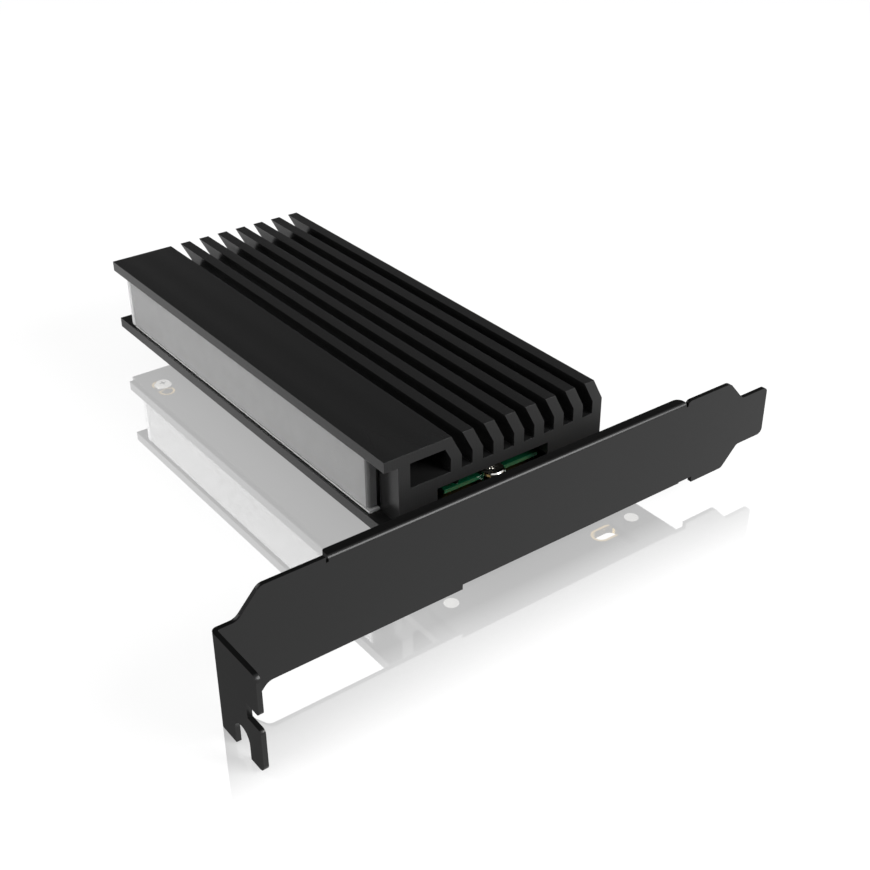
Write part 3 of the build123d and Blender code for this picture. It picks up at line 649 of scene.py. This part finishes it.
@dataclass(frozen=True)
class ViaFinish(Finish):
    """Bare plated plane with rows of small holes and a dull tarnish."""

    pitch: float = 0.0042
    hole_edge: Span = (0.05, 0.07)
    hole_shade: float = 0.3

    def tint(self, graph: Graph, colour: object) -> object:
        """Dots the plane with a regular row of small dark holes.

        Args:
            graph: The material's graph.
            colour: Colour socket so far.

        Returns:
            The colour's socket.
        """
        cells = graph.node("ShaderNodeVectorMath", operation="SCALE")
        graph.feed(graph.where(), cells.inputs[0])
        cells.inputs["Scale"].default_value = 1.0 / self.pitch
        part = graph.node("ShaderNodeVectorMath", operation="FRACTION")
        graph.feed(cells.outputs[0], part.inputs[0])
        parts = graph.parts(part.outputs[0])
        ways = [graph.math("SUBTRACT", parts.outputs[axis], 0.5) for axis in ("X", "Y")]
        squares = [graph.math("MULTIPLY", way, way) for way in ways]
        away = graph.math("SQRT", graph.math("ADD", *squares))
        hole = graph.span(away, *self.hole_edge, 1.0, 0.0)
        return graph.blend(hole, colour, tuple(part * self.hole_shade for part in self.colour))


@dataclass(frozen=True)
class AcrylicFinish(Finish):
    """Clear plate that bends the light like acrylic glass."""

    see_through: float = 1.0
    bending: float = 1.49

    def build(self, effects: Effects) -> bpy.types.Material:
        """Builds the material with a clear body.

        Args:
            effects: Shared node groups.

        Returns:
            The finished material.
        """
        material = super().build(effects)
        shader = self.main_shader(material)
        shader.inputs["Transmission Weight"].default_value = self.see_through
        shader.inputs["IOR"].default_value = self.bending
        return material


FINISHES: dict[str, Finish] = {
    "bracket": SheetFinish("satin_black_coat", grey(0.003), 0.5, specular=0.0, scale=16000.0,
                           relief=0.03, depth=0.000005, colour_change=0.03, gloss_change=0.02,
                           coat=0.68, coat_roughness=0.28),
    # Cut ends lighter than the body: partly the bare cut, partly painted light.
    "sink": ShadedEndFinish("black_anodising", grey(0.017), 0.22, specular=0.21, pattern=Pattern.LINES,
                       scale=3500.0, relief=0.03, depth=0.000004, colour_change=0.04, gloss_change=0.03),
    "board": BoardFinish("black_board_coat", grey(0.005), 0.3, specular=0.3, pattern=Pattern.WEAVE,
                         scale=420.0, relief=0.04, depth=0.000006),
    "drive_board": BoardFinish("green_board_coat", (0.003, 0.125, 0.052), 0.3, specular=0.5,
                               pattern=Pattern.WEAVE, scale=420.0, relief=0.05, depth=0.000008,
                               core=(0.02, 0.2, 0.1), marks=(0.006, 0.19, 0.085), marks_scale=420.0),
    "gold": Finish("gold_plating", (0.62, 0.44, 0.16), 0.3, metallic=1.0, scale=5000.0, relief=0.04,
                   depth=0.00001),
    "strip": ViaFinish("bare_gold_plane", (0.30, 0.215, 0.085), 0.42, metallic=1.0, scale=1200.0,
                       relief=0.05, depth=0.00001, colour_change=0.2),
    "moulded": Finish("moulded_black", (0.014, 0.014, 0.0145), 0.55, specular=0.35, scale=16000.0,
                      relief=0.25, depth=0.00001),
    "package": Finish("moulded_package", (0.012, 0.012, 0.013), 0.42, specular=0.4, scale=20000.0,
                      relief=0.2, depth=0.000008),
    "tin": Finish("tin_plating", (0.62, 0.61, 0.59), 0.28, metallic=1.0, scale=5000.0, relief=0.05,
                  depth=0.00001),
    "nickel": Finish("nickel_plating", (0.66, 0.65, 0.62), 0.2, metallic=1.0, scale=5000.0, relief=0.04,
                     depth=0.00001, edge=0.3, edge_colour=(0.8, 0.79, 0.77)),
    "pad": Finish("grey_silicone", grey(0.40), 0.75, specular=0.3, scale=4200.0, relief=0.3,
                  depth=0.00003, colour_change=0.07),
    "tan": Finish("tan_ceramic", (0.30, 0.19, 0.085), 0.5, scale=9000.0, relief=0.1, depth=0.00001),
    "chip": Finish("dark_ceramic", (0.07, 0.065, 0.06), 0.45, scale=12000.0, relief=0.1, depth=0.00001),
    "lens": Finish("clear_lens", (0.82, 0.82, 0.78), 0.25, scale=9000.0, relief=0.03, depth=0.00001,
                   coat=0.5),
    "lamp_base": Finish("lamp_base", (0.42, 0.40, 0.30), 0.45, scale=9000.0, relief=0.05, depth=0.00001),
    "bar": AcrylicFinish("clear_acrylic", grey(0.93), 0.12, scale=6000.0, relief=0.02, depth=0.000004,
                         colour_change=0.02, gloss_change=0.02),
    # Painted light: pale strips inside the bar stand in for light caught in its edges.
    "painted_glow_edge": Finish("lit_acrylic_edge", grey(0.86), 0.5, scale=6000.0, relief=0.02, depth=0.000004,
                          colour_change=0.02),
    # Darker end faces: painted shade.
    "core": ShadedEndFinish("milky_acrylic", grey(0.43), 0.6, specular=0.2, scale=6000.0, relief=0.05,
                       depth=0.000006, colour_change=0.03, end_tone_and_painted_light=grey(0.19), sawn_roughness=0.6),
}


class Workshop:
    """Modelling moves that every sub-assembly uses, and the finishes that they dress pieces in."""

    merge_distance: float = 0.000002
    flat_angle: float = 0.4
    sharp_angle: float = 35.0

    def __init__(self) -> None:
        """Builds every finish once."""
        self.effects = Effects()
        self.materials = {name: finish.build(self.effects) for name, finish in FINISHES.items()}

    @staticmethod
    def clear() -> None:
        """Leaves edit mode and deselects everything."""
        if bpy.context.object and bpy.context.object.mode != "OBJECT":
            bpy.ops.object.mode_set(mode="OBJECT")
        bpy.ops.object.select_all(action="DESELECT")

    def pick(self, piece: Piece) -> None:
        """Selects one piece alone and makes it active.

        Args:
            piece: The piece.
        """
        self.clear()
        piece.select_set(True)
        bpy.context.view_layer.objects.active = piece

    def block(self, name: str, low: Sequence[float], high: Sequence[float]) -> Piece:
        """Adds a block between two corners.

        Args:
            name: The piece's name.
            low: Lowest corner.
            high: Highest corner.

        Returns:
            The block, with its place in its mesh.
        """
        self.clear()
        middle = [(a + b) / 2 for a, b in zip(low, high)]
        size = [b - a for a, b in zip(low, high)]
        bpy.ops.mesh.primitive_cube_add(size=1.0, location=middle, scale=size)
        return self.settle(name)

    def settle(self, name: str) -> Piece:
        """Names the active object and moves its place into its mesh.

        Args:
            name: The piece's name.

        Returns:
            The object.
        """
        piece = bpy.context.object
        piece.name = name
        piece.data.name = name
        bpy.ops.object.transform_apply(location=True, rotation=True, scale=True)
        return piece

    def copy_node(self, node: str, name: str) -> Piece:
        """Makes a merged copy of a kept solid, to be worked on.

        Args:
            node: The solid's name.
            name: The new piece's name.

        Returns:
            The copy.
        """
        piece = bpy.data.objects.new(name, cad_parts[node].data.copy())
        bpy.context.scene.collection.objects.link(piece)
        piece.data.materials.clear()
        self.pick(piece)
        bpy.ops.object.mode_set(mode="EDIT")
        bpy.ops.mesh.select_all(action="SELECT")
        bpy.ops.mesh.remove_doubles(threshold=self.merge_distance)
        bpy.ops.mesh.dissolve_limited(angle_limit=math.radians(self.flat_angle))
        bpy.ops.object.mode_set(mode="OBJECT")
        return piece

    def soften(self, piece: Piece, width: float) -> None:
        """Rounds the sharp edges of a piece.

        Args:
            piece: The piece.
            width: Width of the rounding.
        """
        self.pick(piece)
        rounding = piece.modifiers.new("rounding", "BEVEL")
        rounding.width = width
        rounding.segments = 2
        rounding.limit_method = "ANGLE"
        rounding.angle_limit = math.radians(self.sharp_angle)
        rounding.use_clamp_overlap = True
        bpy.ops.object.modifier_apply(modifier=rounding.name)

    def join(self, name: str, pieces: Sequence[Piece]) -> Piece:
        """Joins pieces into one.

        Args:
            name: Name of the joined piece.
            pieces: The pieces.

        Returns:
            The joined piece.
        """
        self.clear()
        for piece in pieces:
            piece.select_set(True)
        bpy.context.view_layer.objects.active = pieces[0]
        bpy.ops.object.join()
        joined = bpy.context.object
        joined.name = name
        return joined

    def place(self, piece: Piece, finish: str, slot: str, replaces: Sequence[str] = ()) -> None:
        """Dresses a finished piece and ties it to the card.

        Args:
            piece: The piece.
            finish: Key of its finish.
            slot: The record's material slot; not used.
            replaces: Solids that it stands for.
        """
        piece.data.materials.clear()
        piece.data.materials.append(self.materials[finish])
        self.pick(piece)
        bpy.ops.object.shade_smooth_by_angle(angle=math.radians(self.sharp_angle))
        even = piece.modifiers.new("flat_faces", "WEIGHTED_NORMAL")
        even.keep_sharp = True
        even.weight = 100
        bpy.ops.object.modifier_apply(modifier=even.name)
        if replaces:
            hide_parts(*replaces)
        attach(piece, "root")
        LOG.info("%s: %d faces", piece.name, len(piece.data.polygons))

    def dress(self, node: str, finish: str) -> None:
        """Gives a kept solid its finish.

        Args:
            node: The solid's name.
            finish: Key of its finish.
        """
        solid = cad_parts[node]
        if not solid.material_slots:
            solid.data.materials.append(self.materials[finish])
        for place in solid.material_slots:
            place.material = self.materials[finish]
        LOG.info("%s: kept, %s", node, finish)


@dataclass
class Bracket:
    """Folded bracket and the two screws that hold it to the board."""

    shop: Workshop
    rounding: float = 0.10 * MM

    def build(self) -> None:
        """Makes the bracket with softened sheet edges, then its screws."""
        sheet = self.shop.copy_node("bracket", "bracket_sheet")
        self.shop.soften(sheet, self.rounding)
        self.shop.place(sheet, "bracket", "black_steel", ("bracket",))
        self.shop.dress("bracket_screws", "nickel")


@dataclass
class Board:
    """Coated board with its plated slots, fingers and small parts."""

    shop: Workshop

    def build(self) -> None:
        """Dresses the board and everything soldered to it."""
        self.shop.dress("adapter_board", "board")
        for node in ("slot_plating", "edge_fingers_top", "edge_fingers_under"):
            self.shop.dress(node, "gold")
        self.shop.dress("heat_strip", "strip")
        self.shop.dress("leds", "lens")
        self.shop.dress("led_bases", "lamp_base")
        self.shop.dress("resistor_array", "package")
        self.shop.dress("resistor_array_ends", "tin")
        self.shop.dress("board_capacitors", "tan")


@dataclass
class Drive:
    """The drive with its socket, standoff, screw and thermal pads."""

    shop: Workshop

    def build(self) -> None:
        """Dresses the drive and what holds it."""
        self.shop.dress("drive_board", "drive_board")
        for node in ("drive_memory", "drive_controller", "drive_cache", "drive_coil"):
            self.shop.dress(node, "package")
        self.shop.dress("drive_chip_parts", "chip")
        self.shop.dress("drive_tan_capacitors", "tan")
        self.shop.dress("drive_solder_pads", "tin")
        self.shop.dress("drive_fingers", "gold")
        self.shop.dress("drive_socket", "moulded")
        for node in ("socket_contacts_lower", "socket_contacts_upper", "socket_anchors"):
            self.shop.dress(node, "tin")
        self.shop.dress("drive_standoff", "nickel")
        self.shop.dress("drive_screw", "nickel")
        for node in ("lower_thermal_pad", "upper_thermal_pad"):
            self.shop.dress(node, "pad")


@dataclass
class HeatSink:
    """Extruded heat sink, its light bar and its screws."""

    shop: Workshop
    rounding: float = 0.12 * MM
    bar_rounding: float = 0.12 * MM
    core_low: Point = (0.35 * MM, 1.2 * MM, 0.75 * MM)
    core_high: Point = (0.35 * MM, 1.66 * MM, 0.35 * MM)
    edge_inset: float = 0.14 * MM
    edge_width: float = 0.42 * MM
    end_width: float = 1.5 * MM

    def build(self) -> None:
        """Makes the extrusion and the light bar, and dresses the screws."""
        self.extrusion()
        self.bar()
        self.shop.dress("heat_sink_screws", "nickel")

    def extrusion(self) -> None:
        """Makes the extrusion with softened edges."""
        body = self.shop.copy_node("heat_sink", "heat_sink_body")
        self.shop.soften(body, self.rounding)
        self.shop.place(body, "sink", "black_anodised", ("heat_sink",))

    def bar(self) -> None:
        """Makes the clear bar, the milky core inside it, and pale strips at its foot and far end that are
        painted light caught in the acrylic's edges.
        """
        bar = self.shop.copy_node("light_bar", "light_bar_plate")
        self.shop.soften(bar, self.bar_rounding)
        low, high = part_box("light_bar")
        core = self.shop.block("light_bar_core", [a + b for a, b in zip(low, self.core_low)],
                               [a - b for a, b in zip(high, self.core_high)])
        self.shop.soften(core, self.bar_rounding)
        # Painted light: pale strips along the bar's foot and far end stand in for light caught in its
        # edges.
        inner_low = [part + self.edge_inset for part in low]
        inner_high = [part - self.edge_inset for part in high]
        strip_high = (*inner_high[:2], inner_low[2] + self.edge_width)
        strip = self.shop.block("light_bar_glow_strips", inner_low, strip_high)
        end_low = (inner_low[0], inner_high[1] - self.end_width, inner_low[2])
        end = self.shop.block("light_bar_end_glow", end_low, inner_high)
        edges = self.shop.join("light_bar_glow_strips", (strip, end))
        self.shop.place(bar, "bar", "frosted_acrylic", ("light_bar",))
        self.shop.place(core, "core", "frosted_acrylic")
        self.shop.place(edges, "painted_glow_edge", "frosted_acrylic")


@dataclass(frozen=True)
class Lamp:
    """Soft square lamp that looks at the card: its side in metres, its power in watts."""

    name: str
    place: Point
    size: float
    power: float

    def build(self) -> None:
        """Adds the lamp at its place and turns it to the card."""
        bpy.ops.object.light_add(type="AREA", location=self.place)
        lamp = bpy.context.object
        lamp.name = self.name
        lamp.data.size = self.size
        lamp.data.energy = self.power
        lamp.rotation_euler = (-Vector(self.place)).to_track_quat("-Z", "Y").to_euler()


@dataclass
class Studio:
    """Pale glossy floor, soft lamps, white surroundings and the camera at the photograph's place."""

    camera_place: Point = (-0.12411, -0.19529, 0.14330)
    camera_turn: Point = (58.801, 0.265, -36.835)
    lens: float = 55.166
    sensor: float = 36.0
    floor_half: float = 4.0
    floor_gap: float = 0.0002
    floor_shade: float = 0.42
    floor_glow: float = 0.76
    floor_plain: float = 0.8
    mirror_share: float = 0.52
    mirror_front: Span = (-0.0715, -0.0545)
    mirror_reach: Span = (0.12, 0.30)
    white_reach: Span = (0.15, 0.45)
    # Painted shadow of the card on the floor behind it, seen only in gloss rays.
    painted_shadow_strength: float = 0.8
    painted_shadow_rows: Span = (0.06, 0.09)
    painted_shadow_columns: Span = (-0.029, -0.022)
    dim_top: float = 0.05
    front_sky: Span = (-0.35, 0.35)
    skyline: Span = (0.06, 0.32)
    soft_light: float = 0.26
    lamps: tuple[Lamp, ...] = (
        Lamp("key_lamp", (0.42, -0.68, 0.46), size=0.48, power=7.0),
        Lamp("left_lamp", (-0.90, -0.05, 0.30), size=0.60, power=2.4),
        Lamp("back_lamp", (-0.40, 0.85, 0.55), size=0.60, power=2.4),
    )

    def build(self) -> None:
        """Places the floor, lamps, surroundings and camera."""
        self.floor()
        self.surroundings()
        for lamp in self.lamps:
            lamp.build()
        self.camera()

    def floor(self) -> None:
        """Lays the floor: white with the card's shadow, a painted shadow behind the card that only gloss
        rays see, and a mirror image that fades away from it.
        """
        bpy.ops.mesh.primitive_plane_add(size=2 * self.floor_half, location=(0.0, 0.0, -self.floor_gap))
        floor = bpy.context.object
        floor.name = "studio_floor"
        material = bpy.data.materials.new("white_floor")
        material.use_nodes = True
        material.node_tree.nodes.clear()
        graph = Graph(material.node_tree)
        rays = graph.node("ShaderNodeLightPath")
        place = graph.parts(graph.where())
        length = graph.node("ShaderNodeVectorMath", operation="LENGTH")
        graph.feed(graph.where(), length.inputs[0])
        away = length.outputs["Value"]
        # Painted shadow: the floor's glow is dimmed behind the card for gloss rays, so the fins' far ends
        # reflect a darker floor.
        painted_shadow = graph.span(place.outputs["Y"], *self.painted_shadow_rows, 0.0, self.painted_shadow_strength)
        painted_shadow = graph.math("MULTIPLY", painted_shadow, graph.span(place.outputs["X"], *self.painted_shadow_columns, 0.0, 1.0))
        bright = graph.math("SUBTRACT", 1.0, graph.math("MULTIPLY", painted_shadow, rays.outputs["Is Glossy Ray"]))
        lit = graph.node("ShaderNodeAddShader")
        graph.feed(self.matt(graph, self.floor_shade), lit.inputs[0])
        graph.feed(graph.glow(graph.math("MULTIPLY", bright, self.floor_glow)), lit.inputs[1])
        mirror = graph.node("ShaderNodeBsdfGlossy", Color=(1.0, 1.0, 1.0, 1.0), Roughness=0.0)
        share = graph.span(place.outputs["Y"], *self.mirror_front, 0.0, self.mirror_share)
        share = graph.math("MULTIPLY", share, graph.span(away, *self.mirror_reach, 1.0, 0.0))
        share = graph.math("MULTIPLY", share, rays.outputs["Is Camera Ray"])
        near = graph.mix(share, lit.outputs[0], mirror.outputs[0])
        seen = graph.mix(graph.span(away, *self.white_reach, 0.0, 1.0), near, graph.glow(bright))
        choice = graph.mix(self.background_rays(graph, rays), self.matt(graph, self.floor_plain), seen)
        under = graph.node("ShaderNodeNewGeometry").outputs["Backfacing"]
        whole = graph.mix(under, choice, graph.node("ShaderNodeBsdfTransparent").outputs[0])
        graph.feed(whole, graph.node("ShaderNodeOutputMaterial").inputs["Surface"])
        floor.data.materials.append(material)

    @staticmethod
    def matt(graph: Graph, level: float) -> Socket:
        """Adds a matt grey shader."""
        return graph.node("ShaderNodeBsdfDiffuse", Color=(*grey(level), 1.0)).outputs[0]

    @staticmethod
    def background_rays(graph: Graph, rays: Node) -> Socket:
        """Finds the rays that look at the background, straight, in gloss or through clear plastic.

        Args:
            graph: Graph of the material or world.
            rays: Its light path node.

        Returns:
            Socket that is 1 for those rays.
        """
        seen = graph.math("MAXIMUM", rays.outputs["Is Camera Ray"], rays.outputs["Is Glossy Ray"])
        return graph.math("MAXIMUM", seen, rays.outputs["Is Transmission Ray"])

    def surroundings(self) -> None:
        """Makes the world white to the camera, dim at the rear top in gloss, else a soft light."""
        world = bpy.data.worlds.new("soft_surroundings")
        bpy.context.scene.world = world
        world.use_nodes = True
        world.node_tree.nodes.clear()
        graph = Graph(world.node_tree)
        rays = graph.node("ShaderNodeLightPath")
        way = graph.parts(graph.node("ShaderNodeTexCoord").outputs["Generated"])
        front = graph.span(way.outputs["Y"], *self.front_sky, 1.0, 0.0)
        skyline = graph.span(way.outputs["Z"], *self.skyline, 1.0, 0.0)
        bright = graph.math("MAXIMUM", front, skyline)
        gloss = graph.span(bright, 0.0, 1.0, self.dim_top, 1.0)
        for plain in ("Is Camera Ray", "Is Singular Ray", "Is Transmission Ray"):
            gloss = graph.math("MAXIMUM", gloss, rays.outputs[plain])
        seen = self.background_rays(graph, rays)
        rest = graph.math("MULTIPLY", graph.math("SUBTRACT", 1.0, seen), self.soft_light)
        strength = graph.math("ADD", graph.math("MULTIPLY", gloss, seen), rest)
        back = graph.node("ShaderNodeBackground", Color=(1.0, 1.0, 1.0, 1.0))
        graph.feed(strength, back.inputs["Strength"])
        graph.feed(back.outputs[0], graph.node("ShaderNodeOutputWorld").inputs["Surface"])

    def camera(self) -> None:
        """Adds the camera."""
        bpy.ops.object.camera_add(location=self.camera_place,
                                  rotation=[math.radians(angle) for angle in self.camera_turn])
        camera = bpy.context.object
        camera.name = "photo_camera"
        camera.data.lens = self.lens
        camera.data.sensor_width = self.sensor
        camera.data.clip_start, camera.data.clip_end = 0.01, 20.0
        bpy.context.scene.camera = camera


def main() -> None:
    """Builds every sub-assembly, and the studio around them."""
    logging.basicConfig(level=logging.INFO, format="%(message)s")
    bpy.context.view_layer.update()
    bpy.context.scene.view_settings.view_transform = "Standard"
    shop = Workshop()
    for part in (Bracket(shop), Board(shop), Drive(shop), HeatSink(shop)):
        part.build()
    Studio().build()


if __name__ == "__main__":
    main()
